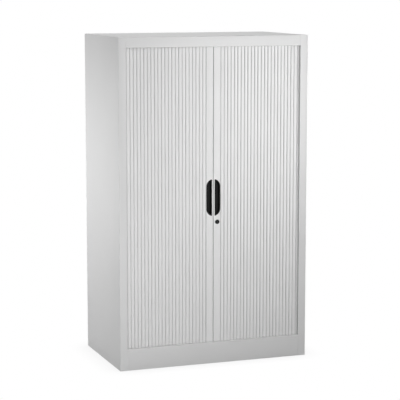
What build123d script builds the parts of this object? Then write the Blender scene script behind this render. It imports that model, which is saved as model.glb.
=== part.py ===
from build123d import *

import os
from math import ceil

# Tambour door cabinet: a folded sheet-steel carcass whose two side-opening shutters are curtains
# of interlocking slats. Millimetres; the origin is on the floor under the middle of the cabinet,
# +Z up, +X to the right and the front facing -Y. Right-hand pieces are drawn, left-hand ones mirrored.

# Carcass sizes
width = 800.0
depth = 470.0
height = 1321.0
sheet = 1.0
bend_radius = 1.5
stile_width = 32.0
fascia_height = 42.0
plinth_height = 86.0
jamb_lip = 11.0
return_lip = 8.0
rear_flange = 20.0
floor_flange = 12.0
roof_flange = 12.0
tray_flange = 15.0
trough_depth = 25.0
head_depth = 21.0
skid_width = 24.0
liner_setback = 2.0
liner_front_fold = 17.0
liner_rear_fold = 14.0

# Shutter sizes: slats, lead slats and the tracks that guide them
shutter_recess = 18.0
return_gap = 2.5
slat_pitch = 14.4
slats_per_node = 2
slat_thickness = 6.0
groove_width = 2.2
crown_rise = 0.8
face_thickness = 1.4
leg_width = 1.2
hook_inset = 1.9
hook_wall = 0.6
bead_radius = 1.2
bead_play = 0.2
neck_thickness = 1.2
slat_play = 0.4
end_play = 1.0
seam_gap = 0.6
lead_width = 31.0
lead_depth = 16.0
lead_wall = 1.6
lead_corner = 1.2
lead_gap = 3.0
behind_lead = 2.0
shoe_plug = 20.0
shoe_flange = 2.0
shoe_inset = 3.0
shoe_play = 0.2
track_wall = 1.4
track_floor = 4.0
track_height = 12.0
inner_bend = 24.0
outer_bend = 14.0
track_rear_gap = 30.0
stop_clearance = 1.7
buffer_play = 0.3
buffer_length = 20.0
buffer_depth = 9.5
buffer_inset = 30.0
buffer_nose = 2.0

# Handle cup sizes
handle_width = 59.2
handle_height = 150.0
handle_level = 676.0
handle_seam = 5.6
handle_rim = 2.0
rim_proud = 0.8
rim_edge = 0.4
cup_play = 0.2
cup_wall = 1.2
cup_depth = 12.4
cup_draft = 1.6
cup_floor_bevel = 2.0
tip_bevel = 1.6

# Lock sizes
lock_offset = 16.8
lock_level = 577.0
lock_flange_radius = 9.0
lock_flange = 2.0
lock_flange_edge = 0.6
lock_body_radius = 7.0
lock_body_play = 0.1
plug_radius = 5.4
plug_play = 0.08
plug_recess = 0.4
keyway_width = 1.4
keyway_height = 6.0
keyway_depth = 4.0
lock_tail = 1.8
cam_gap = 0.2
cam_thickness = 2.0
cam_width = 10.0
cam_hub_radius = 7.0
cam_reach = 27.0
cam_tip = 6.0
cam_tip_radius = 3.0
tang_size = 6.0
tang_play = 0.1
hook_play = 0.8
keeper_width = 12.0
keeper_height = 30.0
keeper_plate = 1.5
keeper_pin_radius = 2.0
keeper_pin_end = 0.6

# Shelf and clip sizes
slots_per_bay = 4
shelf_front_gap = 5.6
shelf_rear_gap = 8.0
shelf_end_gap = 1.5
shelf_fold = 28.0
shelf_return = 12.0
slot_pitch = 100.0
slot_start = 94.0
slot_top_margin = 36.0
slot_height = 10.0
slot_margin = 45.0
clip_width = 16.0
clip_play = 0.3
clip_gauge = 1.6
clip_reach = 13.0
clip_lip = 6.0
clip_drop = 14.0

# Levelling foot sizes
bracket_size = 62.0
bracket_gauge = 3.0
bracket_level = 30.0
foot_pad_radius = 17.0
foot_pad_height = 8.0
stud_radius = 5.0
stud_play = 0.1
stud_top_gap = 4.0

# Planes and levels that follow from the sizes
front = -depth / 2
rear = depth / 2
wall_inside = width / 2 - sheet
opening_half = width / 2 - stile_width
opening_top = height - fascia_height
roof_underside = height - sheet
back_front = rear - 2 * sheet
return_depth = shutter_recess - return_gap
tray_top = plinth_height - trough_depth
head_underside = opening_top + head_depth
curtain_front = front + shutter_recess
curtain_back = curtain_front + slat_thickness
curtain_bottom = tray_top + track_floor + end_play
curtain_top = head_underside - track_floor - end_play
curtain_middle = (tray_top + head_underside) / 2
lead_inner = seam_gap / 2
lead_outer = lead_inner + lead_width
lead_middle = lead_inner + lead_width / 2
lead_back = curtain_front + lead_depth
lead_bottom = tray_top + track_height + lead_gap
lead_top = head_underside - track_height - lead_gap
deck_front = lead_back + behind_lead
liner_face = opening_half - liner_setback
lock_back = lead_back + lock_tail
cam_front = lock_back + cam_gap
cam_back = cam_front + cam_thickness
shelf_front = cam_back + shelf_front_gap
shelf_back = back_front - shelf_rear_gap
door_travel = opening_half - stop_clearance - lead_outer


def keep(piece, name):
    """Label a finished piece and write it as a STEP file of its own."""
    piece.part.label = name
    export_step(piece.part, f"parts/{name}.step")


def upright(y):
    """The vertical plane at this depth, drawn on as it is seen from the front."""
    return Plane.XZ.offset(-y)


def across(x):
    """The vertical plane at this distance to the right, drawn on with depth across and height up."""
    return Plane.YZ.offset(x)


def folded_section(plane, *points, gauge=sheet):
    """Sketch one sheet laid inside a line of square left-hand folds, rounded on the outside."""
    corners = [Vector(*point) for point in points]
    lefts = [(b - a).normalized().rotate(Axis.Z, 90) for a, b in zip(corners, corners[1:])]
    shifts = [lefts[0], *(a + b for a, b in zip(lefts, lefts[1:])), lefts[-1]]
    inner_corners = [corner + shift * gauge for corner, shift in zip(corners, shifts)]
    with BuildSketch(plane) as section:
        with BuildLine():
            FilletPolyline(*corners, radius=bend_radius)
            Polyline(corners[-1], *reversed(inner_corners), corners[0])
        make_face()
    return section.sketch


def span(plane, low, high):
    """Sketch the rectangle between two opposite corners."""
    with BuildSketch(plane) as area:
        with Locations(((low[0] + high[0]) / 2, (low[1] + high[1]) / 2)):
            Rectangle(high[0] - low[0], high[1] - low[1])
    return area.sketch


os.makedirs("parts", exist_ok=True)

# Side panel: one sheet folded at the front into the stile, its jamb and a stiffening lip, and at
# the rear into the flange that holds the back. A flange turns in along the floor.
with BuildPart() as right_side_panel:
    side_section = folded_section(
        Plane.XY,
        (opening_half + jamb_lip, front + return_depth),
        (opening_half, front + return_depth),
        (opening_half, front),
        (width / 2, front),
        (width / 2, rear),
        (width / 2 - rear_flange, rear),
    )
    extrude(side_section, amount=roof_underside)
    floor_edge = span(
        Plane.XY, (wall_inside - floor_flange, front + stile_width), (wall_inside, back_front - skid_width)
    )
    extrude(floor_edge, amount=sheet)
keep(right_side_panel, "right_side_panel")

with BuildPart() as left_side_panel:
    mirror(right_side_panel.part, about=Plane.YZ)
keep(left_side_panel, "left_side_panel")

# Back panel: a flat sheet that stands on the floor and lies inside the rear flanges of the sides.
with BuildPart() as back_panel:
    back_sheet = span(Plane.XY, (-wall_inside, back_front), (wall_inside, back_front + sheet))
    extrude(back_sheet, amount=roof_underside)
keep(back_panel, "back_panel")

# Top panel: a roof sheet over the sides and the back, folded down between the stiles into the
# fascia and back into the head lip, with flanges that hang inside the side walls.
with BuildPart() as top_panel:
    roof_plane = Plane.XY.offset(roof_underside)
    extrude(span(roof_plane, (-width / 2, front), (width / 2, rear)), amount=sheet)
    fold_strip = span(roof_plane, (-opening_half, front), (opening_half, front + stile_width))
    extrude(fold_strip, amount=sheet, mode=Mode.SUBTRACT)
    fascia_section = folded_section(
        across(-opening_half),
        (front + stile_width, height),
        (front, height),
        (front, opening_top),
        (front + return_depth, opening_top),
        (front + return_depth, opening_top + return_lip),
    )
    extrude(fascia_section, amount=2 * opening_half)
    for wall in (-wall_inside, wall_inside - sheet):
        hanging_flange = span(roof_plane, (wall, front + stile_width), (wall + sheet, back_front))
        extrude(hanging_flange, amount=-roof_flange)
keep(top_panel, "top_panel")

# Plinth: the front sheet under the opening, folded back at its top edge into the front wall of
# the trough that the shutters run in, and at the floor into a foot flange.
with BuildPart() as front_plinth:
    plinth_section = folded_section(
        across(-opening_half),
        (front + return_depth, plinth_height - return_lip),
        (front + return_depth, plinth_height),
        (front, plinth_height),
        (front, 0),
        (front + stile_width, 0),
    )
    extrude(plinth_section, amount=2 * opening_half)
keep(front_plinth, "front_plinth")

# Rear skid: a channel that carries the back of the base tray down to the floor.
with BuildPart() as rear_skid:
    skid_section = folded_section(
        across(-wall_inside),
        (back_front - skid_width, 0),
        (back_front, 0),
        (back_front, tray_top - sheet),
        (back_front - skid_width, tray_top - sheet),
    )
    extrude(skid_section, amount=2 * wall_inside)
keep(rear_skid, "rear_skid")

# Base tray and head tray: full-size sheets that carry the tracks, each with one front flange
# turned away from the shutters and its front corners notched round the folded jambs.
with BuildSketch() as jamb_notches:
    with Locations((-wall_inside, front), (wall_inside, front)):
        Rectangle(2 * (wall_inside - opening_half), 2 * return_depth)

with BuildPart() as base_tray:
    tray_section = folded_section(
        across(-wall_inside),
        (back_front, tray_top),
        (front + sheet, tray_top),
        (front + sheet, tray_top - tray_flange),
    )
    extrude(tray_section, amount=2 * wall_inside)
    extrude(jamb_notches.sketch, amount=tray_top, mode=Mode.SUBTRACT)
keep(base_tray, "base_tray")

with BuildPart() as head_tray:
    head_section = folded_section(
        across(-wall_inside),
        (front + sheet, head_underside + tray_flange),
        (front + sheet, head_underside),
        (back_front, head_underside),
    )
    extrude(head_section, amount=2 * wall_inside)
    extrude(jamb_notches.sketch, amount=height, mode=Mode.SUBTRACT)
keep(head_tray, "head_tray")

# Base deck and ceiling panel: the floor and the ceiling of the shelf space, folded at the front and
# the rear so that they stand on the base tray and hang from the head tray.
with BuildPart() as base_deck:
    deck_section = folded_section(
        across(-liner_face),
        (back_front, tray_top),
        (back_front, plinth_height),
        (deck_front, plinth_height),
        (deck_front, tray_top),
    )
    extrude(deck_section, amount=2 * liner_face)
keep(base_deck, "base_deck")

with BuildPart() as ceiling_panel:
    ceiling_section = folded_section(
        across(-liner_face),
        (deck_front, head_underside),
        (deck_front, opening_top),
        (back_front, opening_top),
        (back_front, head_underside),
    )
    extrude(ceiling_section, amount=2 * liner_face)
keep(ceiling_panel, "ceiling_panel")

# Liner: the slotted upright sheet between the shelves and the pocket that the open shutter
# slides into. Two columns of slots take the shelf clips at any level.
slot_room = opening_top - slot_top_margin - slot_height - plinth_height - slot_start
slot_levels = [plinth_height + slot_start + row * slot_pitch for row in range(int(slot_room // slot_pitch) + 1)]
clip_lines = (shelf_front + slot_margin, shelf_back - slot_margin)

with BuildPart() as right_liner:
    liner_section = folded_section(
        Plane.XY.offset(tray_top),
        (liner_face + liner_rear_fold, back_front),
        (liner_face, back_front),
        (liner_face, deck_front),
        (liner_face + liner_front_fold, deck_front),
    )
    extrude(liner_section, amount=head_underside - tray_top)
    with BuildSketch(across(liner_face)):
        with Locations(*[(y, level + slot_height / 2) for y in clip_lines for level in slot_levels]):
            Rectangle(clip_width + 2 * clip_play, slot_height)
    extrude(amount=sheet, mode=Mode.SUBTRACT)
keep(right_liner, "right_liner")

with BuildPart() as left_liner:
    mirror(right_liner.part, about=Plane.YZ)
keep(left_liner, "left_liner")

# Tracks: grooved rails that lead each shutter along the front, round the corner behind the stile
# and back along the side wall. The groove widens in the bend so that stiff slats can turn.
groove_front = curtain_front - slat_play
groove_back = curtain_back + slat_play
groove_outer = wall_inside - track_wall
groove_inner = groove_outer - (groove_back - groove_front)
track_end = back_front - track_rear_gap


def track_plan(level, wall):
    """Sketch the groove's plan from the middle of the cabinet to its rear end, grown by a wall."""
    near = groove_front - wall
    far = groove_back + wall
    outer = groove_outer + wall
    inner = groove_inner - wall
    with BuildSketch(Plane.XY.offset(level)) as plan:
        with BuildLine():
            FilletPolyline((0, near), (outer, near), (outer, track_end), radius=outer_bend + wall)
            Line((outer, track_end), (inner, track_end))
            FilletPolyline((inner, track_end), (inner, far), (0, far), radius=inner_bend - wall)
            Line((0, far), (0, near))
        make_face()
    return plan.sketch


with BuildPart() as bottom_track_right:
    extrude(track_plan(tray_top, track_wall), amount=track_height)
    extrude(track_plan(tray_top + track_floor, 0), amount=track_height - track_floor, mode=Mode.SUBTRACT)
keep(bottom_track_right, "bottom_track_right")

with BuildPart() as bottom_track_left:
    mirror(bottom_track_right.part, about=Plane.YZ)
keep(bottom_track_left, "bottom_track_left")

with BuildPart() as top_track_right:
    mirror(bottom_track_right.part, about=Plane.XY.offset(curtain_middle))
keep(top_track_right, "top_track_right")

with BuildPart() as top_track_left:
    mirror(bottom_track_left.part, about=Plane.XY.offset(curtain_middle))
keep(top_track_left, "top_track_left")

# Stop buffers: rubber blocks on the folded front edges of the liners, which end the travel of
# the lead slats near their top and bottom, behind the path of the thinner slats.
with BuildPart() as stop_buffers:
    buffer_face = lead_outer + door_travel + buffer_play
    buffer_low = (buffer_face, deck_front - buffer_depth)
    buffer_high = (liner_face + liner_front_fold, deck_front)
    for level in (lead_bottom + buffer_inset, lead_top - buffer_inset - buffer_length):
        extrude(span(Plane.XY.offset(level), buffer_low, buffer_high), amount=buffer_length)
    nose_edges = stop_buffers.edges().filter_by(Axis.Z).group_by(Axis.Y)[0]
    chamfer(nose_edges, length=buffer_nose)
    mirror(about=Plane.YZ)
keep(stop_buffers, "stop_buffers")

# Slats: extruded profiles with a crowned face. Each has a six-sided bead on a neck at its outer
# edge, which turns in the open knuckle at the inner edge of the next slat, so the curtain can bend.
knuckle_radius = bead_radius + bead_play + hook_wall
hook_depth = slat_thickness - knuckle_radius
face_left = groove_width / 2
face_right = slat_pitch - groove_width / 2

with BuildSketch() as slat_section:
    with BuildLine():
        ThreePointArc((face_left, crown_rise), (slat_pitch / 2, 0), (face_right, crown_rise))
        Polyline(
            (face_right, crown_rise),
            (face_right, hook_depth + neck_thickness / 2),
            (face_right - leg_width, hook_depth + neck_thickness / 2),
            (face_right - leg_width, crown_rise + face_thickness),
            (face_left, crown_rise + face_thickness),
            (face_left, crown_rise),
        )
    make_face()
    with Locations((hook_inset, hook_depth)):
        RegularPolygon(knuckle_radius, side_count=6, major_radius=False)
        RegularPolygon(knuckle_radius - hook_wall, side_count=6, major_radius=False, mode=Mode.SUBTRACT)
    with Locations((hook_inset - knuckle_radius, hook_depth)):
        Rectangle(2 * (knuckle_radius - hook_wall), neck_thickness + 2 * bead_play, mode=Mode.SUBTRACT)

with BuildSketch() as bead_section:
    with Locations((hook_inset, hook_depth)):
        RegularPolygon(bead_radius, side_count=6, major_radius=False)
    with Locations(((hook_inset - groove_width / 2) / 2, hook_depth)):
        Rectangle(hook_inset + groove_width / 2, neck_thickness)

slats_per_door = ceil((opening_half - lead_outer) / slat_pitch)
slats_in_place = [lead_outer + slat_pitch * place for place in range(slats_per_door)]
for group, first in enumerate(range(0, slats_per_door, slats_per_node), start=1):
    group_places = slats_in_place[first : first + slats_per_node]
    with BuildPart() as right_slats:
        with BuildSketch(Plane.XY.offset(curtain_bottom)):
            with Locations(*[(x, curtain_front) for x in group_places]):
                add(slat_section.sketch)
            with Locations(*[(x + slat_pitch, curtain_front) for x in group_places]):
                add(bead_section.sketch)
        extrude(amount=curtain_top - curtain_bottom)
    keep(right_slats, f"right_slats_{group:02d}")

    with BuildPart() as left_slats:
        mirror(right_slats.part, about=Plane.YZ)
    keep(left_slats, f"left_slats_{group:02d}")


def cup_outline(plane, inset):
    """Sketch the right half of the handle's stadium, outside the seam strip, drawn in by an inset."""
    with BuildSketch(plane) as outline:
        with Locations((0, handle_level)):
            SlotOverall(handle_height, handle_width, rotation=90)
            with Locations((handle_seam - handle_width / 2, 0)):
                Rectangle(handle_width, handle_height, mode=Mode.SUBTRACT)
        chamfer(outline.vertices().group_by(Axis.X)[0], length=tip_bevel)
        if inset:
            offset(amount=-inset)
    return outline.sketch


# Lead slats: hollow box extrusions that pull the curtains. Their outer edge carries the bead for
# the first slat, and the front wall has the window for the handle cup.
with BuildSketch() as lead_outline:
    with Locations((lead_middle, curtain_front + lead_depth / 2)):
        Rectangle(lead_width, lead_depth)
    chamfer(lead_outline.vertices(), length=lead_corner)

with BuildPart() as plain_lead_slat:
    with BuildSketch(Plane.XY.offset(lead_bottom)):
        add(lead_outline.sketch)
        with Locations((lead_middle, curtain_front + lead_depth / 2)):
            Rectangle(lead_width - 2 * lead_wall, lead_depth - 2 * lead_wall, mode=Mode.SUBTRACT)
        with Locations((lead_outer, curtain_front)):
            add(bead_section.sketch)
    extrude(amount=lead_top - lead_bottom)
    extrude(cup_outline(upright(curtain_front), handle_rim), amount=-lead_wall, mode=Mode.SUBTRACT)

with BuildPart() as left_lead_slat:
    mirror(plain_lead_slat.part, about=Plane.YZ)
keep(left_lead_slat, "left_lead_slat")

with BuildPart() as right_lead_slat:
    add(plain_lead_slat.part)
    with BuildSketch(upright(curtain_front)):
        with Locations((lock_offset, lock_level)):
            Circle(lock_body_radius + lock_body_play)
    extrude(amount=-lead_depth, mode=Mode.SUBTRACT)
keep(right_lead_slat, "right_lead_slat")

# Handle cups: black moulded finger recesses, one in each lead slat, that together make a stadium
# across the seam. A thin rim lies on the slat and the cup, which narrows inwards, fills its hollow.
mouth_inset = handle_rim + cup_play + cup_wall
cup_floor = curtain_front + cup_depth - cup_wall

with BuildPart() as right_handle:
    extrude(cup_outline(upright(curtain_front), 0), amount=rim_proud)
    chamfer(right_handle.faces().sort_by(Axis.Y)[0].edges(), length=rim_edge)
    extrude(cup_outline(upright(curtain_front), handle_rim + cup_play), amount=-cup_depth)
    cup_mouth = cup_outline(upright(curtain_front - rim_proud), mouth_inset)
    cup_waist = cup_outline(upright(cup_floor - cup_floor_bevel), mouth_inset + cup_draft)
    cup_bottom = cup_outline(upright(cup_floor), mouth_inset + cup_draft + cup_floor_bevel)
    loft([cup_mouth, cup_waist, cup_bottom], ruled=True, mode=Mode.SUBTRACT)
keep(right_handle, "right_handle")

with BuildPart() as left_handle:
    mirror(right_handle.part, about=Plane.YZ)
keep(left_handle, "left_handle")

# Lead shoes: moulded ends that plug the hollow of a lead slat and run in the track grooves.
with BuildPart() as right_lead_shoes:
    with BuildSketch(Plane.XY.offset(lead_bottom)):
        with Locations((lead_middle, curtain_front + lead_depth / 2)):
            Rectangle(
                lead_width - 2 * (lead_wall + shoe_play),
                lead_depth - 2 * (lead_wall + shoe_play),
            )
    extrude(amount=shoe_plug)
    with BuildSketch(Plane.XY.offset(lead_bottom)):
        add(lead_outline.sketch)
    extrude(amount=-shoe_flange)
    tongue_low = (lead_inner + shoe_inset, curtain_front)
    tongue_high = (lead_outer - shoe_inset, curtain_back)
    extrude(span(Plane.XY.offset(curtain_bottom), tongue_low, tongue_high), amount=lead_bottom - curtain_bottom)
    mirror(about=Plane.XY.offset(curtain_middle))
keep(right_lead_shoes, "right_lead_shoes")

with BuildPart() as left_lead_shoes:
    mirror(right_lead_shoes.part, about=Plane.YZ)
keep(left_lead_shoes, "left_lead_shoes")

# Lock housing: a flanged barrel through both walls of the right lead slat.
lock_bore_edge = lock_offset + plug_radius + plug_play

with BuildPart() as lock_housing:
    with BuildSketch(Plane.XY.offset(lock_level)):
        with BuildLine():
            Polyline(
                (lock_bore_edge, curtain_front - lock_flange),
                (lock_offset + lock_flange_radius - lock_flange_edge, curtain_front - lock_flange),
                (lock_offset + lock_flange_radius, curtain_front),
                (lock_offset + lock_body_radius, curtain_front),
                (lock_offset + lock_body_radius, lock_back),
                (lock_bore_edge, lock_back),
                close=True,
            )
        make_face()
    revolve(axis=Axis((lock_offset, 0, lock_level), (0, 1, 0)))
keep(lock_housing, "lock_housing")

# Lock plug: the part that the key turns, with its keyway in front and a square tang behind.
plug_front = curtain_front - lock_flange + plug_recess

with BuildPart() as lock_plug:
    with BuildSketch(upright(plug_front)):
        with Locations((lock_offset, lock_level)):
            Circle(plug_radius)
    extrude(amount=-(lock_back - plug_front))
    with BuildSketch(upright(lock_back)):
        with Locations((lock_offset, lock_level)):
            Rectangle(tang_size, tang_size)
    extrude(amount=-(cam_back - lock_back))
    with BuildSketch(upright(plug_front)):
        with Locations((lock_offset, lock_level)):
            Rectangle(keyway_width, keyway_height)
    extrude(amount=-keyway_depth, mode=Mode.SUBTRACT)
keep(lock_plug, "lock_plug")

# Lock cam: a hooked arm on the tang. Unlocked it hangs straight down; a quarter turn swings it
# behind the left lead slat, where its throat closes round the keeper pin.
pin_place = (lock_offset, lock_level - cam_reach)

with BuildSketch(upright(cam_front)) as cam_throat:
    with Locations((lock_offset, lock_level)):
        Circle(cam_reach + keeper_pin_radius + hook_play)
        Circle(cam_reach - keeper_pin_radius - hook_play, mode=Mode.SUBTRACT)
    with Locations((lock_offset - cam_reach, lock_level - cam_reach)):
        Rectangle(2 * cam_reach, 2 * cam_reach, mode=Mode.INTERSECT)
    with Locations(pin_place):
        Circle(keeper_pin_radius + hook_play)

with BuildPart() as lock_cam:
    with BuildSketch(upright(cam_front)) as cam_outline:
        with Locations((lock_offset, lock_level - (cam_reach + cam_tip) / 2)):
            Rectangle(cam_width, cam_reach + cam_tip)
        fillet(cam_outline.vertices().group_by(Axis.Z)[0], radius=cam_tip_radius)
        with Locations((lock_offset, lock_level)):
            Circle(cam_hub_radius)
            Rectangle(tang_size + tang_play, tang_size + tang_play, mode=Mode.SUBTRACT)
    extrude(amount=-cam_thickness)
    extrude(cam_throat.sketch, amount=-cam_thickness, mode=Mode.SUBTRACT)
keep(lock_cam, "lock_cam")

# Lock keeper: a plate on the back of the left lead slat with the pin that the cam hooks round.
with BuildPart() as lock_keeper:
    with BuildSketch(upright(lead_back)):
        with Locations((lock_offset - cam_reach, lock_level)):
            Rectangle(keeper_width, keeper_height)
    extrude(amount=-keeper_plate)
    with BuildSketch(upright(lead_back)):
        with Locations((lock_offset - cam_reach, lock_level)):
            Circle(keeper_pin_radius)
    extrude(amount=-(cam_back + keeper_pin_end - lead_back))
keep(lock_keeper, "lock_keeper")

# Shelves: steel shelves folded at the front and the rear, resting on clips in the liners' slots.
shelf_rows = (slots_per_bay - 1, 2 * slots_per_bay - 1)

for shelf_name, row in zip(("lower_shelf", "upper_shelf"), shelf_rows):
    shelf_top = slot_levels[row] + clip_gauge + sheet
    with BuildPart() as shelf:
        shelf_section = folded_section(
            across(-(liner_face - shelf_end_gap)),
            (shelf_back - shelf_return, shelf_top - shelf_fold),
            (shelf_back, shelf_top - shelf_fold),
            (shelf_back, shelf_top),
            (shelf_front, shelf_top),
            (shelf_front, shelf_top - shelf_fold),
            (shelf_front + shelf_return, shelf_top - shelf_fold),
        )
        extrude(shelf_section, amount=2 * (liner_face - shelf_end_gap))
    keep(shelf, shelf_name)

# Shelf clips: bent steel hooks. The tongue lies in the slot's foot with a lip behind the liner,
# and a slanting leg bears on the liner's face below the slot.
with BuildPart() as shelf_clips:
    lip_inside = liner_face + sheet + clip_play
    for row in shelf_rows:
        foot = slot_levels[row]
        for y in clip_lines:
            with BuildSketch(upright(y - clip_width / 2)):
                with BuildLine():
                    Polyline(
                        (liner_face - clip_reach, foot + clip_gauge),
                        (lip_inside + clip_gauge, foot + clip_gauge),
                        (lip_inside + clip_gauge, foot - clip_lip),
                        (lip_inside, foot - clip_lip),
                        (lip_inside, foot),
                        (liner_face, foot),
                        (liner_face, foot - clip_drop),
                        (liner_face - clip_gauge, foot - clip_drop),
                        (liner_face - clip_reach, foot),
                        close=True,
                    )
                make_face()
            extrude(amount=-clip_width)
    mirror(about=Plane.YZ)
keep(shelf_clips, "shelf_clips")

# Foot brackets: steel angles on the side walls, under the corners of the base tray, each with a
# hexagonal hole for the stud of a levelling foot.
bracket_fronts = (front + stile_width, back_front - skid_width - bracket_size)
foot_places = [
    (side * (wall_inside - bracket_size / 2), y + bracket_size / 2) for side in (-1, 1) for y in bracket_fronts
]

with BuildPart() as foot_brackets:
    for y in bracket_fronts:
        bracket_section = folded_section(
            upright(y),
            (wall_inside - bracket_size, bracket_level),
            (wall_inside, bracket_level),
            (wall_inside, tray_top - sheet),
            gauge=bracket_gauge,
        )
        extrude(bracket_section, amount=-bracket_size)
    mirror(about=Plane.YZ)
    with BuildSketch(Plane.XY.offset(bracket_level)):
        with Locations(*foot_places):
            RegularPolygon(stud_radius + stud_play, side_count=6, major_radius=False)
    extrude(amount=bracket_gauge, mode=Mode.SUBTRACT)
keep(foot_brackets, "foot_brackets")

# Levelling feet: studs with a wide hexagonal pad that stands on the floor and takes a spanner.
with BuildPart() as levelling_feet:
    with BuildSketch():
        with Locations(*foot_places):
            RegularPolygon(foot_pad_radius, side_count=6)
    extrude(amount=foot_pad_height)
    with BuildSketch(Plane.XY.offset(foot_pad_height)):
        with Locations(*foot_places):
            Circle(stud_radius)
    extrude(amount=tray_top - sheet - stud_top_gap - foot_pad_height)
keep(levelling_feet, "levelling_feet")
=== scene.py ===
from math import acos, pi, radians

import bpy
import numpy as np
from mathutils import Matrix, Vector


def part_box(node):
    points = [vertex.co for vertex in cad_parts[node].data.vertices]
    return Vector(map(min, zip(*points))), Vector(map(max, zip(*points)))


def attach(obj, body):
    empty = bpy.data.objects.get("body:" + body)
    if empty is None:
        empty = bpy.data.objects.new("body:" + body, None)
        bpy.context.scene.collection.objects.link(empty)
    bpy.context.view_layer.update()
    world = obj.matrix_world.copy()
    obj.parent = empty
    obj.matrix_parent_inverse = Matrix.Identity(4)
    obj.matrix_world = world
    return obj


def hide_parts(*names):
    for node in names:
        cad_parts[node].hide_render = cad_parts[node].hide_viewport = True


# Tambour door cabinet: a folded sheet-steel carcass with two slatted shutters that slide round the
# corners. Metres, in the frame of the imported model: the origin is on the floor under the middle of
# the cabinet, +Z is up and the front faces -Y.
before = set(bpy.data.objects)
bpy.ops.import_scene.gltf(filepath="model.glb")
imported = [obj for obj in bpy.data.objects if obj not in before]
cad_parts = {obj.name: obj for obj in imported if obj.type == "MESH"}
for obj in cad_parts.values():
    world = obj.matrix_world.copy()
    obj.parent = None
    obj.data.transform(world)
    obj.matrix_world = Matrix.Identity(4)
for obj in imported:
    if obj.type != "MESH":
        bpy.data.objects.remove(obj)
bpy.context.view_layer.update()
scene = bpy.context.scene
mm = 0.001

# Camera: a long lens left of the cabinet's middle and a little above its top, looking slightly down.
# The two angles are in degrees, and the lens is in millimetres.
camera_place = (-2.112, -5.830, 1.524)
camera_dip = 8.14
camera_turn = -20.11
camera_lens = 135.9

camera = bpy.data.cameras.new("camera")
camera.lens = camera_lens
camera_stand = bpy.data.objects.new("camera", camera)
camera_stand.location = camera_place
camera_stand.rotation_euler = (radians(90 - camera_dip), 0, radians(camera_turn))
scene.collection.objects.link(camera_stand)
scene.camera = camera_stand
scene.view_settings.view_transform = "Standard"

# Lamps: soft boxes that stand near the cabinet, so that their light falls off along it. Three light
# the front, and four the two sides, the back and the top. Each row gives a lamp's name, its place,
# the point that it is aimed at, its width and its power in watts.
lamps = (
    ("right_shutter_box", (0.46, -1.30, 1.12), (0.3, 0, 1.25), 0.8, 9.1),
    ("low_left_box", (-0.55, -1.30, 0.32), (-0.2, 0, 0.5), 0.8, 5.9),
    ("high_left_box", (-0.68, -1.30, 1.84), (-0.2, 0, 1.0), 0.8, 3.6),
    ("left_side_box", (-1.20, 0.30, 0.80), (-0.4, 0.1, 0.8), 0.8, 8.5),
    ("right_side_box", (2.20, 0.50, 0.90), (0.4, 0, 0.75), 1.2, 22.0),
    ("back_box", (0.20, 2.40, 0.62), (0, 0, 0.62), 1.2, 32.0),
    ("top_box", (0, 0.50, 2.60), (0, 0.3, 0.9), 0.8, 7.6),
)
for name, place, aim, width, power in lamps:
    box = bpy.data.lights.new(name, "AREA")
    box.size = width
    box.energy = power
    box_stand = bpy.data.objects.new(name, box)
    box_stand.location = place
    box_stand.rotation_euler = (Vector(aim) - Vector(place)).to_track_quat("-Z", "Y").to_euler()
    box_stand.visible_camera = False
    scene.collection.objects.link(box_stand)


# Backdrop and floor: plain white to the camera, while the backdrop casts only a dim light and the
# floor gives back half of what falls on it. In view the floor's white carries a painted shadow: it
# darkens a little under and round the cabinet, where less of the studio can be seen from it.
class Wire:
    """A node's output, used in sums like a number: each operator adds a Math node."""

    def __init__(self, finish, socket):
        self.finish = finish
        self.socket = socket

    def sum(self, operation, first, second):
        return self.finish.node("ShaderNodeMath", {"operation": operation}, {0: first, 1: second})

    def __add__(self, other):
        return self.sum("ADD", self, other)

    def __radd__(self, other):
        return self.sum("ADD", other, self)

    def __mul__(self, other):
        return self.sum("MULTIPLY", self, other)

    def __rmul__(self, other):
        return self.sum("MULTIPLY", other, self)


class Finish:
    """The nodes of a material or of the world, built up from nothing."""

    def __init__(self, owner):
        owner.use_nodes = True
        self.owner = owner
        self.tree = owner.node_tree
        self.tree.nodes.clear()

    def node(self, kind, settings=(), sockets=(), output=0):
        """Add a node, its settings first and then the values or wires of its sockets."""
        made = self.tree.nodes.new(kind)
        for name, value in dict(settings).items():
            setattr(made, name, value)
        for name, value in dict(sockets).items():
            if isinstance(value, Wire):
                self.tree.links.new(value.socket, made.inputs[name])
            else:
                made.inputs[name].default_value = value
        return Wire(self, made.outputs[output]) if len(made.outputs) else None

    def mixed(self, factor, first, second):
        """A colour that goes from the first to the second with the factor. The Mix node's sockets
        share their names between kinds of value, so its colours are called by number."""
        return self.node("ShaderNodeMix", {"data_type": "RGBA"}, {0: factor, 6: first, 7: second}, 2)


def grey(level):
    """A neutral colour of this brightness."""
    return (level, level, level, 1)


ambient_light = 0.15
white = grey(1.0)
floor_colour = grey(0.50)
shadow_depth = 0.16
shadow_reach = 0.09
floor_reach = 200.0

scene.world = bpy.data.worlds.new("studio")
backdrop = Finish(scene.world)
camera_ray, glossy_ray, clear_ray = [
    backdrop.node("ShaderNodeLightPath", output=f"Is {kind} Ray")
    for kind in ("Camera", "Glossy", "Transmission")
]
seen = backdrop.node(
    "ShaderNodeMath", {"operation": "ADD", "use_clamp": True}, {0: camera_ray, 1: glossy_ray + clear_ray}
)
glow = backdrop.node(
    "ShaderNodeBackground", (), {"Color": white, "Strength": ambient_light + seen * (1 - ambient_light)}
)
backdrop.node("ShaderNodeOutputWorld", (), {"Surface": glow})

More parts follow.
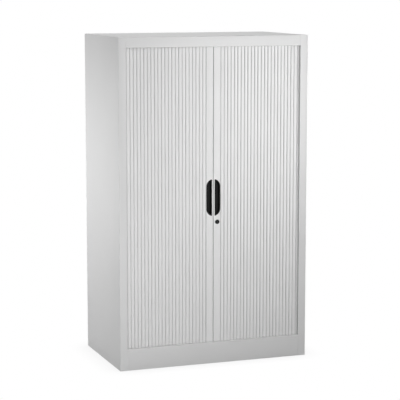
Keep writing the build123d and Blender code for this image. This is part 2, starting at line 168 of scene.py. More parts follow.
floor_paint = Finish(bpy.data.materials.new("studio_floor"))
floor_seen = floor_paint.node("ShaderNodeLightPath", output="Is Camera Ray")
open_sky = floor_paint.node("ShaderNodeAmbientOcclusion", (), {"Distance": shadow_reach}, "AO")
shaded = floor_paint.node("ShaderNodeBsdfDiffuse", (), {"Color": floor_colour})
# painted shadow: the white that the camera sees dims where the occlusion finds the cabinet near
shadowed_floor_white = floor_paint.node(
    "ShaderNodeEmission", (), {"Color": white, "Strength": (1 - shadow_depth) + open_sky * shadow_depth}
)
floor_mix = floor_paint.node("ShaderNodeMixShader", (), {0: floor_seen, 1: shaded, 2: shadowed_floor_white})
floor_paint.node("ShaderNodeOutputMaterial", (), {"Surface": floor_mix})

floor_mesh = bpy.data.meshes.new("studio_floor")
floor_corners = [(x * floor_reach, y * floor_reach, 0) for x, y in ((-1, -1), (1, -1), (1, 1), (-1, 1))]
floor_mesh.from_pydata(floor_corners, [], [(0, 1, 2, 3)])
floor_mesh.materials.append(floor_paint.owner)
floor = bpy.data.objects.new("studio_floor", floor_mesh)
scene.collection.objects.link(floor)

# Side panels: each is one sheet, folded at the front into the stile, its jamb and a stiffening lip,
# and at the rear into a flange. A strip turned in at the foot runs along the floor. The paint is a
# light grey powder coat, which melts to a satin skin with a faint orange peel.
hands = (("right", 1), ("left", -1))
sheet = 1.0 * mm
bend_radius = 1.5 * mm
bend_steps = 7
joint_radius = 1.05 * mm
jamb_lip = 11.0 * mm
return_depth = 15.5 * mm
rear_flange = 20.0 * mm
floor_flange = 12.0 * mm
stile_width = 32.0 * mm
crease = 32
paint_grey = 0.68
paint_spread = 0.03
paint_roughness = 0.36
paint_drift = 0.10
cloud_grains = 5.0
cloud_share = 0.6
speck_grains = 1500.0
peel_grains = 480.0
peel_height = 0.03 * mm


def noise(finish, place, grains, detail):
    """Soft noise over a place, with this many grains to the metre and so many finer octaves."""
    return finish.node("ShaderNodeTexNoise", (), {"Vector": place, "Scale": grains, "Detail": detail})


def toned(finish, factor, level, spread):
    """A grey that goes from below its level to above it, by this spread, with the factor."""
    return finish.mixed(factor, grey(level - spread), grey(level + spread))


def bumped(finish, height, relief, strength=0.5):
    """A surface's normal over bumps, which are as high as the relief where the height is one."""
    return finish.node("ShaderNodeBump", (), {"Height": height, "Distance": relief, "Strength": strength})


def surfaced(finish, sockets):
    """The material of a finish, closed with one Principled surface."""
    surface = finish.node("ShaderNodeBsdfPrincipled", (), sockets)
    finish.node("ShaderNodeOutputMaterial", (), {"Surface": surface})
    return finish.owner


def powder_coat(name):
    """Satin powder coat: its tone drifts over a hand's length and has a fine speckle, and its orange
    peel is noise with a grain of about two millimetres."""
    coat = Finish(bpy.data.materials.new(name))
    place = coat.node("ShaderNodeTexCoord", output="Object")
    cloud = noise(coat, place, cloud_grains, detail=2.0)
    speck = noise(coat, place, speck_grains, detail=1.0)
    peel = noise(coat, place, peel_grains, detail=2.0)
    tone = cloud * cloud_share + speck * (1 - cloud_share)
    return surfaced(coat, {
        "Base Color": toned(coat, tone, paint_grey, paint_spread),
        "Roughness": paint_roughness + peel * paint_drift,
        "Normal": bumped(coat, peel, peel_height),
    })


def fold_lines(corners, gauge, radii):
    """The outer and inner line of a sheet with square left-hand folds. Each fold is an arc about one
    centre, of its radius outside and of the radius less the gauge inside."""
    corners = np.asarray(corners, float)
    runs = np.diff(corners, axis=0)
    runs /= np.linalg.norm(runs, axis=1, keepdims=True)
    lefts = np.stack([-runs[:, 1], runs[:, 0]], axis=1)
    radii = np.broadcast_to(radii, len(corners) - 2)[:, None, None]
    centres = corners[1:-1, None] + radii * (lefts[:-1] + lefts[1:])[:, None]
    turn = np.linspace(0, pi / 2, bend_steps)[:, None]
    spokes = np.cos(turn) * lefts[:-1, None] + np.sin(turn) * lefts[1:, None]
    outer = (centres - radii * spokes).reshape(-1, 2)
    inner = (centres - (radii - gauge) * spokes).reshape(-1, 2)
    outer = np.concatenate([corners[:1], outer, corners[-1:]])
    inner = np.concatenate([corners[:1] + gauge * lefts[0], inner, corners[-1:] + gauge * lefts[-1]])
    return outer, inner


def carried(line, stations, along):
    """A flat line carried straight along one axis, as one row of points for each station. The
    line's own two coordinates are the other two axes in their order."""
    axis = "xyz".index(along)
    others = [each for each in range(3) if each != axis]
    grid = np.empty((len(stations), len(line), 3))
    grid[..., others] = line
    grid[..., axis] = np.asarray(stations, float)[:, None]
    return grid


def cells_of(index):
    """The four corners of every cell of a grid of point numbers."""
    return np.stack([index[:-1, :-1], index[:-1, 1:], index[1:, 1:], index[1:, :-1]], axis=-1)


def sheet_shell(outside, inside, kept=None, closed=False):
    """A sheet between two grids of points, as a closed shell: the cells of both grids, save those
    that are cut out, and a rim along every edge that only one of the outer cells has."""
    rows, count = outside.shape[:2]
    index = np.arange(rows * count).reshape(rows, count)
    index = np.append(index, index[:, :1], axis=1) if closed else index
    cells = cells_of(index)
    cells = cells.reshape(-1, 4) if kept is None else cells[kept]
    edges = np.stack([cells, np.roll(cells, -1, axis=1)], axis=-1).reshape(-1, 2)
    forth = edges[:, 0] * rows * count + edges[:, 1]
    back = edges[:, 1] * rows * count + edges[:, 0]
    free = edges[~np.isin(forth, back)]
    rim = np.concatenate([free[:, ::-1], free + rows * count], axis=1)
    points = np.concatenate([outside.reshape(-1, 3), inside.reshape(-1, 3)])
    return points, [cells, cells[:, ::-1] + rows * count, rim]


def folded(corners, stations, along, gauge=sheet):
    """A folded sheet of one section, between stations along an axis."""
    outer, inner = fold_lines(corners, gauge, bend_radius)
    return sheet_shell(carried(outer, stations, along), carried(inner, stations, along))


def facing_out(shell):
    """The shell with its faces turned outwards: the volume that its faces enclose, summed over a
    fan of triangles in each, is above zero when they face out."""
    points, faces = shell
    volume = 0.0
    for group in faces:
        corner = points[group[:, 0], None]
        fan = np.cross(points[group[:, 1:-1]], points[group[:, 2:]])
        volume += (corner * fan).sum()
    return points, faces if volume > 0 else [group[:, ::-1] for group in faces]


def handed(shells, hand):
    """The shells as drawn for the right-hand side, or mirrored for the left where hand is -1."""
    return [(points * (hand, 1, 1), faces) for points, faces in shells]


def make(name, shells, body, slot, finish, *replaced):
    """One piece of closed shells that rides on a body and stands for the CAD nodes named. Edges
    that turn by more than the crease, in degrees, are sharp."""
    shells = [facing_out(shell) for shell in shells]
    starts = np.cumsum([0] + [len(points) for points, faces in shells])
    groups = [group + start for (points, faces), start in zip(shells, starts) for group in faces]
    sizes = np.concatenate([np.full(len(group), group.shape[1]) for group in groups])
    loops = np.concatenate([group.ravel() for group in groups])
    mesh = bpy.data.meshes.new(name)
    mesh.vertices.add(starts[-1])
    mesh.vertices.foreach_set("co", np.concatenate([points for points, faces in shells]).ravel())
    mesh.loops.add(len(loops))
    mesh.loops.foreach_set("vertex_index", loops)
    mesh.polygons.add(len(sizes))
    mesh.polygons.foreach_set("loop_start", np.cumsum(sizes) - sizes)
    mesh.polygons.foreach_set("use_smooth", np.ones(len(sizes), bool))
    mesh.update(calc_edges=True)
    mesh.validate()
    mesh.set_sharp_from_angle(angle=radians(crease))
    mesh.materials.append(finish)
    piece = bpy.data.objects.new(name, mesh)
    scene.collection.objects.link(piece)
    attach(piece, body)
    if replaced:
        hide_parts(*replaced)


carcass_coat = powder_coat("light_grey_powder_coat")
side_low, side_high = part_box("right_side_panel")
front = side_low.y
rear = side_high.y
opening_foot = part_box("front_plinth")[1].z
opening_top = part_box("ceiling_panel")[0].z

# Beside the plinth and the fascia the jamb is bent tighter, so that they meet it in a thin seam.
joint_line, stile_line = [
    fold_lines(
        [
            (side_low.x + jamb_lip, front + return_depth),
            (side_low.x, front + return_depth),
            (side_low.x, front),
            (side_high.x, front),
            (side_high.x, rear),
            (side_high.x - rear_flange, rear),
        ],
        sheet,
        (bend_radius, jamb_radius, bend_radius, bend_radius),
    )
    for jamb_radius in (joint_radius, bend_radius)
]
side_rows = (
    (side_low.z, joint_line),
    (opening_foot, joint_line),
    (opening_foot + bend_radius, stile_line),
    (opening_top - bend_radius, stile_line),
    (opening_top, joint_line),
    (side_high.z, joint_line),
)
side_faces = [
    np.concatenate([carried(lines[face], [level], "z") for level, lines in side_rows])
    for face in (0, 1)
]
skid_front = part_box("rear_skid")[0].y
foot_strip = folded(
    [(side_high.x - sheet - floor_flange, side_low.z), (side_high.x - sheet, side_low.z)],
    (front + stile_width, skid_front),
    "y",
)
for side, hand in hands:
    shells = handed([sheet_shell(*side_faces), foot_strip], hand)
    make(f"{side}_side_sheet", shells, "cabinet", "carcass_paint", carcass_coat, f"{side}_side_panel")

# Top: the roof sheet lies over the sides and is folded down between the stiles into the fascia,
# which ends in a lip. Narrow flanges hang inside the side walls. The same coat as the sides.
return_lip = 8.0 * mm
roof_flange = 12.0 * mm
roof_low, roof_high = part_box("top_panel")
fascia = folded(
    [
        (front + stile_width, roof_high.z),
        (front, roof_high.z),
        (front, opening_top),
        (front + return_depth, opening_top),
        (front + return_depth, opening_top + return_lip),
    ],
    (-side_low.x, side_low.x),
    "x",
)
roof_x = (roof_low.x, -side_low.x, side_low.x, roof_high.x)
roof_y = (rear, front + stile_width, front)
roof_face, roof_back = [
    carried([(y, z) for y in roof_y], roof_x, "x") for z in (roof_high.z, roof_high.z - sheet)
]
roof_kept = np.ones((len(roof_x) - 1, len(roof_y) - 1), bool)
roof_kept[1, 1] = False  # the middle cell at the front is the fascia's own sheet
hangers = []
for wall, inward in ((side_high.x - sheet, -1), (sheet - side_high.x, 1)):
    levels = (roof_high.z - sheet, roof_high.z - sheet - roof_flange)[::inward]
    hanger_line = [(wall, level) for level in levels]
    hangers.append(folded(hanger_line, (front + stile_width, rear - 2 * sheet), "y"))
top_shells = [fascia, sheet_shell(roof_face, roof_back, roof_kept), *hangers]
make("top_sheet", top_shells, "cabinet", "carcass_paint", carcass_coat, "top_panel")

# Plinth: one sheet under the opening, folded back at its top edge into the front wall of the trough
# that the shutters run in, and at the floor into a foot. The same coat as the sides.
plinth = folded(
    [
        (front + return_depth, opening_foot - return_lip),
        (front + return_depth, opening_foot),
        (front, opening_foot),
        (front, 0),
        (front + stile_width, 0),
    ],
    (-side_low.x, side_low.x),
    "x",
)
make("plinth_sheet", [plinth], "cabinet", "carcass_paint", carcass_coat, "front_plinth")


# Inner sheets: back, skid, trays, deck and ceiling are plain folded sheet in the same coat. The
# slotted liners and the shelves that hang on them are sheet too, in a like coat of their own.
def dress(nodes, finish):
    """Give CAD nodes that stay in view this finish."""
    for node in nodes:
        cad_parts[node].material_slots[0].material = finish


fitting_coat = powder_coat("light_grey_fitting_coat")
dress(("back_panel", "rear_skid", "base_tray", "head_tray", "base_deck", "ceiling_panel"), carcass_coat)
dress(("right_liner", "left_liner", "lower_shelf", "upper_shelf"), fitting_coat)


# Tracks: bent rails of grey low-friction plastic, which lie in the trays under and over the opening
# and lead each shutter along the front, round the corner and back inside the side wall.
def grained_skin(name, level, spread, grains, relief, roughness, gloss=0.5):
    """A plain dull skin, as of moulded plastic, rubber or a coated casting: a fine grain in it
    lightens and darkens it a little and makes it more or less matt."""
    skin = Finish(bpy.data.materials.new(name))
    place = skin.node("ShaderNodeTexCoord", output="Object")
    grain = noise(skin, place, grains, detail=3.0)
    grain_drift = 0.15
    return surfaced(skin, {
        "Base Color": toned(skin, grain, level, spread),
        "Roughness": roughness + grain * grain_drift,
        "Specular IOR Level": gloss,
        "Normal": bumped(skin, grain, relief, strength=0.6),
    })


track_plastic = grained_skin(
    "grey_track_plastic", level=0.30, spread=0.03, grains=700.0, relief=0.04 * mm, roughness=0.40
)
dress(("bottom_track_right", "bottom_track_left", "top_track_right", "top_track_left"), track_plastic)

# Jamb strips: a thin flat strip of the tracks' plastic on each jamb, right behind the stile's bend.
# It is painted shade: a dark sheet put where the jamb lies in shade, to give the dark upright line
# between the stile and the shutter.
strip_gauge = 0.8 * mm
strip_width = 5.0 * mm
strip_face = side_low.x - strip_gauge
strip_front = front + bend_radius
strip = folded(
    [(strip_face, strip_front + strip_width), (strip_face, strip_front)],
    (opening_foot + bend_radius, opening_top - bend_radius),
    "z",
    gauge=strip_gauge,
)
# painted shade: these dark strips stand in for the shadow on the jamb
for side, hand in hands:
    make(f"{side}_jamb_shade_strip", handed([strip], hand), "cabinet", "track_plastic", track_plastic)

# Stop buffers: moulded blocks of black rubber with a matt, faintly mottled skin. They stand behind
# the stiles and stop the open shutters.
buffer_rubber = grained_skin(
    "black_buffer_rubber", level=0.020, spread=0.008, grains=900.0, relief=0.06 * mm, roughness=0.75
)
dress(("stop_buffers",), buffer_rubber)

# Slats: extruded plastic profiles with a crowned face and rounded shoulders. The bead on the outer
# edge of each turns in the open knuckle of the next. Drawing marks run up and down their faces.
slat_pitch = 14.4 * mm
slats_per_piece = 2
groove_width = 2.2 * mm
crown_rise = 0.8 * mm
crown_lean = 10
face_thickness = 1.4 * mm
leg_width = 1.2 * mm
shoulder_radius = 0.5 * mm
hook_inset = 1.9 * mm
knuckle_radius = 2.0 * mm
knuckle_bore = 1.4 * mm
knuckle_mouth = 0.8 * mm
bead_radius = 1.2 * mm
neck_half = 0.6 * mm
slat_low, slat_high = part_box("right_slats_01")
hook_depth = slat_high.y - slat_low.y - knuckle_radius
lead_low, lead_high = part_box("right_lead_slat")
lead_width = 31.0 * mm
first_slat = lead_low.x + lead_width
slat_grey = 0.76
slat_spread = 0.035
# painted shade: below the face the slats turn a darker grey, so that their grooves read dark
groove_shade_grey = 0.62
groove_shade_depth = 0.8 * mm
groove_shade_blend = 0.3 * mm
slat_roughness = 0.52
slat_drift = 0.12
batch_grains = 9.0
batch_share = 0.5
streak_grains = 900.0
streak_stretch = 100
streak_height = 0.01 * mm


def slat_plastic(name, deep_shade_grey):
    """Drawn plastic: noise stretched along the profile makes faint drawing marks, in the tone, the
    gloss and the height. What lies deeper than the face is painted a darker grey, as painted shade
    in the grooves between slats and in the seam between the lead slats."""
    plastic = Finish(bpy.data.materials.new(name))
    place = plastic.node("ShaderNodeTexCoord", output="Object")
    streaks = (streak_grains, streak_grains, streak_grains / streak_stretch)
    drawn = plastic.node("ShaderNodeMapping", (), {"Vector": place, "Scale": streaks})
    marks = noise(plastic, drawn, grains=1.0, detail=3.0)
    batch = noise(plastic, place, batch_grains, detail=1.0)
    tone = marks * (1 - batch_share) + batch * batch_share
    face = toned(plastic, tone, slat_grey, slat_spread)
    depth = plastic.node("ShaderNodeSeparateXYZ", (), {"Vector": place}, "Y")
    # painted shade: the mask that darkens everything deeper than the face
    face_end = slat_low.y + groove_shade_depth
    blend = {"Value": depth, "From Min": face_end, "From Max": face_end + groove_shade_blend}
    below = plastic.node("ShaderNodeMapRange", (), blend)
    return surfaced(plastic, {
        "Base Color": plastic.mixed(below, face, grey(deep_shade_grey)),
        "Roughness": slat_roughness + marks * slat_drift,
        "Normal": bumped(plastic, marks, streak_height),
    })


def arc(centre, radius, start, end, points):
    """Points round a centre between two angles, in degrees from the first axis to the second."""
    turn = np.radians(np.linspace(start, end, points))
    return np.stack([centre[0] + radius * np.cos(turn), centre[1] + radius * np.sin(turn)], axis=1)


def angle_at(rise, radius):
    """The angle, in degrees, at which a circle stands this far off its own middle line."""
    return np.degrees(np.arcsin(rise / radius))


def bead_line(edge):
    """The round bead that a slat holds out past its edge, from the front of its neck to the back."""
    neck = angle_at(neck_half, bead_radius)
    return arc((edge + hook_inset, hook_depth), bead_radius, 180 + neck, 540 - neck, points=13)


def slat_section():
    """One slat as a closed line, across and back from its front. It runs over the crowned face, a
    parabola between two rounded shoulders, down the outer leg, out round the bead, back under the
    leg and the face, and round the knuckle, which is open towards its neighbour's bead."""
    face_left = groove_width / 2
    face_right = slat_pitch - face_left
    half = (face_right - face_left) / 2 - shoulder_radius
    share = np.linspace(-1, 1, 9)
    face = np.stack([slat_pitch / 2 + half * share, crown_rise / 2 * share**2], axis=1)
    drop = crown_rise / 2 + shoulder_radius
    right_end = (face_right - shoulder_radius, drop)
    left_end = (face_left + shoulder_radius, drop)
    leg_inside = face_right - leg_width
    back = crown_rise + face_thickness
    hook = (hook_inset, hook_depth)
    underside = angle_at(hook_depth - back, knuckle_radius)
    lip = angle_at(knuckle_mouth, knuckle_radius)
    bore_lip = angle_at(knuckle_mouth, knuckle_bore)
    edge = np.degrees(acos((face_left - hook_inset) / knuckle_radius))
    return np.concatenate([
        face,
        arc(right_end, shoulder_radius, crown_lean - 90, 0, points=4),
        [(face_right, hook_depth - neck_half)],
        bead_line(slat_pitch),
        [(leg_inside, hook_depth + neck_half), (leg_inside, back)],
        arc(hook, knuckle_radius, -underside, 180 - lip, points=11),
        arc(hook, knuckle_bore, 180 - bore_lip, bore_lip - 180, points=13),
        arc(hook, knuckle_radius, lip - 180, -edge, points=4),
        arc(left_end, shoulder_radius, 180, 270 - crown_lean, points=4),
    ])


def bar_shell(rows, capped=True):
    """A closed skin through rings of points, one to a row. Flat caps close its ends, or else the
    last ring joins the first."""
    index = np.arange(rows.shape[0] * rows.shape[1]).reshape(rows.shape[:2])
    rings = index if capped else np.append(index, index[:1], axis=0)
    skin = cells_of(np.append(rings, rings[:, :1], axis=1)).reshape(-1, 4)
    caps = [index[:1, ::-1], index[-1:]] if capped else []
    return rows.reshape(-1, 3), [skin, *caps]


slat_skin = slat_plastic("light_grey_slat_plastic", groove_shade_grey)
one_slat = slat_section()
slat_nodes = sorted(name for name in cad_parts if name.startswith("right_slats_"))
for group, node in enumerate(slat_nodes):
    places = first_slat + slat_pitch * (group * slats_per_piece + np.arange(slats_per_piece))
    slats = [
        bar_shell(carried(one_slat + (place, slat_low.y), (slat_low.z, slat_high.z), "z"))
        for place in places
    ]
    for side, hand in hands:
        replaced = node.replace("right", side)
        curtain = replaced.replace("slats", "curtain")
        make(curtain, handed(slats, hand), replaced, "slat_plastic", slat_skin, replaced)

# Handle cups: black moulded finger recesses, one in each lead slat, which together make a stadium
# across the seam. A thin rounded rim lies on the slat and the cup narrows to its floor. The shoes
# that guide the lead slats in the tracks are moulded of the same plastic.
cup_low, cup_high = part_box("right_handle")
cup_radius = cup_high.x
cup_seam = cup_low.x
cup_centre = (cup_low.z + cup_high.z) / 2
cup_straight = 45.4 * mm
tip_radius = 2.4 * mm
least_tip = 0.4 * mm
rim_edge = 0.7 * mm
body_inset = 2.2 * mm
mouth_inset = 3.4 * mm
waist_inset = 5.0 * mm
floor_inset = 7.0 * mm
cup_wall = 1.2 * mm


def cup_ring(inset):
    """The half stadium outside the seam strip, drawn in by an inset: round ends about two centres,
    cut by an upright line, with a small arc in each corner that touches the line and the end."""
    line = cup_seam + inset
    end = cup_radius - inset
    tip = max(tip_radius - inset, least_tip)
    tip_rise = ((end - tip) ** 2 - (line + tip) ** 2) ** 0.5
    lean = np.degrees(np.arctan2(tip_rise, line + tip))
    corner = arc((line + tip, cup_straight + tip_rise), tip, 180, lean, points=7)
    quarter = arc((0, cup_straight), end, lean, 0, points=15)
    upper = np.concatenate([corner, quarter[1:]])
    return np.concatenate([upper, (upper * (1, -1))[::-1]])


def cup_row(inset, depth):
    """The ring at an inset, stood upright at a depth."""
    return carried(cup_ring(inset) + (0, cup_centre), (depth,), "y")


def rounded(start, end, centre_sign, points=5):
    """Inset and depth along a quarter round from start to end, which leaves start across the depth
    where the sign is 1 and along it where the sign is -1."""
    turn = np.linspace(0, pi / 2, points)
    shares = np.stack([np.sin(turn), 1 - np.cos(turn)][::centre_sign], axis=1)
    return start + shares * np.subtract(end, start)


slat_face = lead_low.y
rim_face = cup_low.y
cup_back = cup_high.y
cup_floor = cup_back - cup_wall
cup_profile = [
    (body_inset, cup_back),
    (body_inset, slat_face),
    (0, slat_face),
    *rounded((0, rim_face + rim_edge), (rim_edge, rim_face), -1),
    *rounded((mouth_inset - rim_edge, rim_face), (mouth_inset, rim_face + rim_edge), 1),
    *rounded((waist_inset, cup_floor - (floor_inset - waist_inset)), (floor_inset, cup_floor), -1),
    (floor_inset + least_tip, cup_floor),
]
cup_plastic = grained_skin(
    "black_cup_plastic", level=0.006, spread=0.003, grains=1400.0, relief=0.05 * mm, roughness=0.36,
    gloss=0.15,
)
cup = bar_shell(np.concatenate([cup_row(*step) for step in cup_profile]))
for side, hand in hands:
    cup_piece = f"{side}_finger_cup"
    make(cup_piece, handed([cup], hand), f"{side}_door", "handle_plastic", cup_plastic, f"{side}_handle")
    dress((f"{side}_lead_shoes",), cup_plastic)

# Lead slats: hollow plastic extrusions with rounded edges and a bead for the first slat. The front
# wall has the window of the handle cup, and the right one is bored through for the lock. A ring of
# points round one has four corners, and a pair between them on its back and on its front.
lead_wall = 1.6 * mm
lead_corner = 3.4 * mm
lead_back = lead_high.y
# painted shade: the lead slats' sides below the face are darker still, so that the seam between them reads
# dark
seam_shade_grey = 0.42
window_inset = 1.2 * mm
lock_low, lock_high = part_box("lock_housing")
lock_centre = ((lock_low.x + lock_high.x) / 2, (lock_low.z + lock_high.z) / 2)
lock_bore = 7.1 * mm
edge_share = 0.999
corner_points = 5
back_pair = 2 * corner_points + np.arange(2)
front_pair = 4 * corner_points + len(back_pair) + np.arange(2)
ring_points = front_pair[-1] + 1
corner_columns = np.setdiff1d(np.arange(ring_points), np.append(back_pair, front_pair))


def rounded_box(low, high, radius):
    """A box's outline as its four round corners: from the left end of its front backwards, across
    its back and forwards again."""
    corners = (
        (low[0], low[1], 270, 180),
        (low[0], high[1], 180, 90),
        (high[0], high[1], 90, 0),
        (high[0], low[1], 0, -90),
    )
    arcs = []
    for x, y, start, end in corners:
        centre = np.clip((x, y), np.add(low, radius), np.subtract(high, radius))
        arcs.append(arc(centre, radius, start, end, corner_points))
    return np.concatenate(arcs)


def opening_levels(outline):
    """Levels from the foot to the top of an opening, closer together where its round ends turn."""
    middle = outline[:, 1].mean()
    reach = np.abs(outline[:, 1] - middle).max() * edge_share
    return middle + reach * np.sin(np.linspace(-pi / 2, pi / 2, 33))


def opening_sides(outline, levels):
    """Where the left and the right side of an opening stand at each level, held at its ends. The
    outline runs from its top down the right side."""
    top, foot = outline[:, 1].argmax(), outline[:, 1].argmin()
    turned_round = np.roll(outline, -top, axis=0)
    foot = (foot - top) % len(outline)
    right_side = turned_round[: foot + 1][::-1]
    left_side = np.append(turned_round[foot:], turned_round[:1], axis=0)
    return np.stack([np.interp(levels, side[:, 1], side[:, 0]) for side in (left_side, right_side)], axis=1)


def lead_shell(openings):
    """A hollow bar as a closed sheet: a rounded box outside and a smaller one inside. The pairs of
    points on its back and front follow the sides of the nearest opening, and the cells between
    them are cut out over its height, in the back too where it goes right through."""
    spans = [opening_levels(outline) for outline, through in openings]
    levels = np.sort(np.concatenate([[lead_low.z, lead_high.z], *spans]))
    beyond = [np.maximum(span[0] - levels, levels - span[-1]) for span in spans]
    nearest = np.argmin(beyond, axis=0)
    sides = np.empty((len(levels), 2))
    for number, (outline, through) in enumerate(openings):
        beside = nearest == number
        sides[beside] = opening_sides(outline, levels[beside])
    faces = []
    for inset, radius in ((0, lead_corner), (lead_wall, lead_corner - lead_wall)):
        low = (lead_low.x + inset, lead_low.y + inset)
        high = (lead_low.x + lead_width - inset, lead_back - inset)
        grid = np.empty((len(levels), ring_points, 3))
        grid[:, corner_columns, :2] = rounded_box(low, high, radius)
        grid[:, back_pair, 0] = sides
        grid[:, back_pair, 1] = high[1]
        grid[:, front_pair, 0] = sides[:, ::-1]
        grid[:, front_pair, 1] = low[1]
        grid[..., 2] = levels[:, None]
        faces.append(grid)
    kept = np.ones((len(levels) - 1, ring_points), bool)
    middles = (levels[:-1] + levels[1:]) / 2
    for (outline, through), span in zip(openings, spans):
        inside = (middles > span[0]) & (middles < span[-1])
        kept[inside, front_pair[0]] = False
        if through:
            kept[inside, back_pair[0]] = False
    return sheet_shell(*faces, kept, closed=True)


window = cup_ring(window_inset) + (0, cup_centre)
lock_hole = arc(lock_centre, lock_bore, 90, -270, points=49)[:-1]
neck_root = first_slat - lead_wall / 2
bead_section = np.concatenate([
    [(neck_root, hook_depth + neck_half), (neck_root, hook_depth - neck_half)],
    bead_line(first_slat),
])
lead_skin = slat_plastic("light_grey_lead_plastic", seam_shade_grey)
lead_bead = bar_shell(carried(bead_section + (0, lead_low.y), (lead_low.z, lead_high.z), "z"))
right_lead = [lead_shell([(window, False), (lock_hole, True)]), lead_bead]
left_lead = handed([lead_shell([(window, False)]), lead_bead], -1)
make("right_lead_extrusion", right_lead, "right_door", "slat_plastic", lead_skin, "right_lead_slat")
make("left_lead_extrusion", left_lead, "left_door", "slat_plastic", lead_skin, "left_lead_slat")

# Lock: a flanged barrel in the right lead slat, and in it a core with a keyway that turns with the
# key. The core's square tang carries the cam behind. Both are die castings, the barrel coated black
# and the core dark.
core_low, core_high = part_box("lock_plug")
flange_radius = (lock_high.x - lock_low.x) / 2
flange_edge = 0.6 * mm
barrel_radius = 7.0 * mm
core_radius = (core_high.x - core_low.x) / 2
core_play = 0.08 * mm
core_edge = 0.35 * mm
core_points = 48
keyway_half = 2.3 * mm
keyway_radius = 0.7 * mm
keyway_depth = 4.0 * mm
tang = 6.0 * mm


def turned(profile, centre, points=64):
    """A profile of radius and depth carried round an axis that runs back through the centre."""
    turn = np.linspace(0, 2 * pi, points, endpoint=False)
    radius, depth = np.asarray(profile, float).T[:, :, None]
    rows = np.empty((len(profile), points, 3))
    rows[..., 0] = centre[0] + radius * np.cos(turn)
    rows[..., 1] = depth
    rows[..., 2] = centre[1] + radius * np.sin(turn)
    return rows


def die_cast(name, level, roughness):
    """Coated die casting: an even dark coat with a grain finer than that of moulded plastic."""
    return grained_skin(
        name, level=level, spread=level / 4, grains=2200.0, relief=0.02 * mm, roughness=roughness, gloss=0.15
    )


def keyway_ring(points):
    """The keyway's outline, an upright slot with round ends: half of the points lie on the arc of
    its upper end, and the other half are the same turned round to its lower end."""
    upper = arc((0, keyway_half), keyway_radius, 0, 180, points // 2)
    return np.concatenate([upper, -upper])


bore_radius = core_radius + core_play
barrel_profile = [
    (bore_radius, lock_high.y),
    (bore_radius, lock_low.y + core_edge),
    (bore_radius + core_edge, lock_low.y),
    *rounded((flange_radius - flange_edge, lock_low.y), (flange_radius, lock_low.y + flange_edge), 1),
    (flange_radius, slat_face),
    (barrel_radius, slat_face),
    (barrel_radius, lock_high.y),
]
barrel_black = die_cast("black_lock_coat", level=0.004, roughness=0.24)
barrel = bar_shell(turned(barrel_profile, lock_centre), capped=False)
make("lock_barrel", [barrel], "right_door", "lock_black", barrel_black, "lock_housing")

keyway = keyway_ring(core_points)
round_core = arc((0, 0), 1.0, 0, 360, core_points + 1)[:-1]
core_rings = [
    (keyway, core_low.y + keyway_depth),
    (keyway, core_low.y),
    ((core_radius - core_edge) * round_core, core_low.y),
    (core_radius * round_core, core_low.y + core_edge),
    (core_radius * round_core, lock_high.y),
]
core_rows = np.concatenate([carried(ring + lock_centre, (depth,), "y") for ring, depth in core_rings])
tang_square = arc(lock_centre, tang / 2**0.5, 45, 405, points=5)[:-1]
tang_shell = bar_shell(carried(tang_square, (lock_high.y, core_high.y), "y"))
core_dark = die_cast("dark_lock_core", level=0.030, roughness=0.32)
make("lock_core", [bar_shell(core_rows), tang_shell], "lock", "lock_core", core_dark, "lock_plug")

# Zinc plated pieces: the hooked cam and its keeper, the shelf clips, and the brackets and levelling
# feet that carry the cabinet are steel with a bright zinc skin.
zinc_dark = (0.56, 0.57, 0.59, 1)
zinc_bright = (0.66, 0.66, 0.65, 1)
zinc_roughness = 0.28
zinc_drift = 0.20
spangle_grains = 160.0
rolling_grains = (2000.0, 2000.0, 60.0)
rolling_height = 0.01 * mm


def zinc_plate(name):
    """Bright zinc: a metal whose tone and gloss drift in soft spangles, with fine rolling marks."""
    metal = Finish(bpy.data.materials.new(name))
    place = metal.node("ShaderNodeTexCoord", output="Object")
    cells = {"Vector": place, "Scale": spangle_grains}
    spangle = metal.node("ShaderNodeTexVoronoi", {"feature": "SMOOTH_F1"}, cells)
    rolled = metal.node("ShaderNodeMapping", (), {"Vector": place, "Scale": rolling_grains})
    marks = noise(metal, rolled, grains=1.0, detail=2.0)
    return surfaced(metal, {
        "Base Color": metal.mixed(spangle, zinc_dark, zinc_bright),
        "Metallic": 1.0,
        "Roughness": zinc_roughness + spangle * zinc_drift,
        "Normal": bumped(metal, marks, rolling_height),
    })


zinc = zinc_plate("bright_zinc_plate")
dress(("lock_cam", "lock_keeper", "shelf_clips", "foot_brackets", "levelling_feet"), zinc)

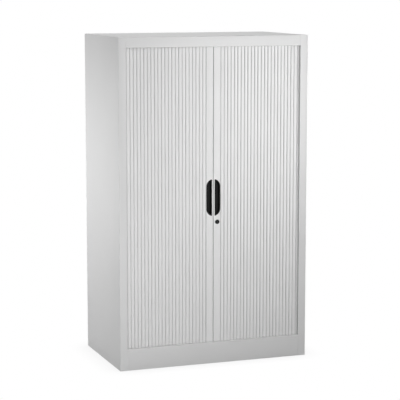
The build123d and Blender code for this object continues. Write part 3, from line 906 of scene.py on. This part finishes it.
# Lock fasteners: a thin hexagon nut holds the barrel against the back of the lead slat, and a screw
# with a low domed head holds the cam on the core. Both are zinc plated.
nut_radius = 9.5 * mm
nut_edge = 0.5 * mm
screw_radius = 4.0 * mm
screw_height = 1.6 * mm
flat_share = 3**0.5 / 2
hex_corners = arc((0, 0), 1.0, 0, 360, points=7)
hexagon = np.linspace(hex_corners[:-1], hex_corners[1:], 8, endpoint=False, axis=1).reshape(-1, 2)
hex_round = hexagon / np.linalg.norm(hexagon, axis=1, keepdims=True)


def nut_shell(centre, bore, radius, ends, along):
    """A hexagon nut round a bore, with its corners taken off towards both ends."""
    low, high = ends
    rings = [
        (bore * hex_round, low),
        (bore * hex_round, high),
        (radius * flat_share * hex_round, high),
        (radius * hexagon, high - nut_edge),
        (radius * hexagon, low + nut_edge),
        (radius * flat_share * hex_round, low),
    ]
    rows = [carried(ring + centre, (station,), along) for ring, station in rings]
    return bar_shell(np.concatenate(rows), capped=False)


nut = nut_shell(lock_centre, barrel_radius, nut_radius, (lead_back, lock_high.y), "y")
make("lock_nut", [nut], "right_door", "zinc_steel", zinc)
dome_start = (screw_radius, core_high.y + screw_height / 3)
dome_end = (screw_radius / 3, core_high.y + screw_height)
screw_profile = [(screw_radius, core_high.y), *rounded(dome_start, dome_end, -1)]
screw = bar_shell(turned(screw_profile, lock_centre, points=32))
make("cam_screw", [screw], "lock", "zinc_steel", zinc)

# Levelling feet: zinc plated studs through brackets on the side walls, each locked by a nut that
# stands on its bracket.
bracket_gauge = 3.0 * mm
stud_radius = 5.0 * mm
foot_nut_radius = 9.8 * mm
foot_nut_height = 5.0 * mm
foot_low, foot_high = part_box("levelling_feet")
pad_reach = 17.0 * mm
pad_half = pad_reach * flat_share
bracket_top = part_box("foot_brackets")[0].z + bracket_gauge
foot_nuts = [
    nut_shell((x, y), stud_radius, foot_nut_radius, (bracket_top, bracket_top + foot_nut_height), "z")
    for x in (foot_low.x + pad_reach, foot_high.x - pad_reach)
    for y in (foot_low.y + pad_half, foot_high.y - pad_half)
]
make("foot_locknuts", foot_nuts, "cabinet", "zinc_steel", zinc)
